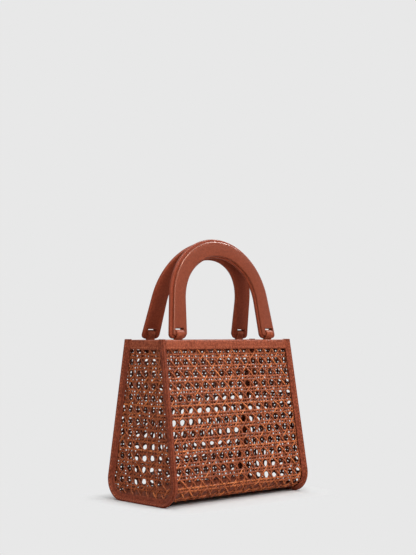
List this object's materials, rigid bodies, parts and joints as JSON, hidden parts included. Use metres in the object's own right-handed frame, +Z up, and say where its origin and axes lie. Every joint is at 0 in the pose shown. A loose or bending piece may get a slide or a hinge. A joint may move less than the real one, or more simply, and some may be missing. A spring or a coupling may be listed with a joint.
{
  "type": "basket box bag",
  "caption": "Small box-shaped basket bag of woven cane with leather-bound edges and a pair of stiff arched handles that swing on leather loops.",
  "frame": {"origin": "on the floor, under the middle of the bag", "axes": "+Z up, +X along the bag's length, -Y towards the front"},
  "size_m": [0.2176, 0.1214, 0.3053],
  "materials": {
    "cane": "satin",
    "trim_leather": "satin",
    "liner_leather": "matte",
    "strap_leather": "satin",
    "handle_leather": "satin"
  },
  "bodies": {
    "bag": {"cane_wrap": "cane", "left_end_panel": "cane", "right_end_panel": "cane", "left_seam_binding": "trim_leather", "right_seam_binding": "trim_leather", "front_rim_band": "trim_leather", "back_rim_band": "trim_leather", "left_rim_band": "trim_leather", "right_rim_band": "trim_leather", "base_liner": "liner_leather", "front_left_loop": "strap_leather", "front_right_loop": "strap_leather", "back_left_loop": "strap_leather", "back_right_loop": "strap_leather"},
    "front_handle": {"front_handle_outer_half": "handle_leather", "front_handle_inner_half": "handle_leather"},
    "back_handle": {"back_handle_outer_half": "handle_leather", "back_handle_inner_half": "handle_leather"}
  },
  "joints": [
    {"name": "front_handle_swing", "type": "hinge", "parent": "bag", "child": "front_handle", "pos_m": [0, -0.026, 0.192], "axis": [1, 0, 0], "range_deg": [0, 130]},
    {"name": "back_handle_swing", "type": "hinge", "parent": "bag", "child": "back_handle", "pos_m": [0, 0.026, 0.192], "axis": [-1, 0, 0], "range_deg": [0, 130]}
  ]
}
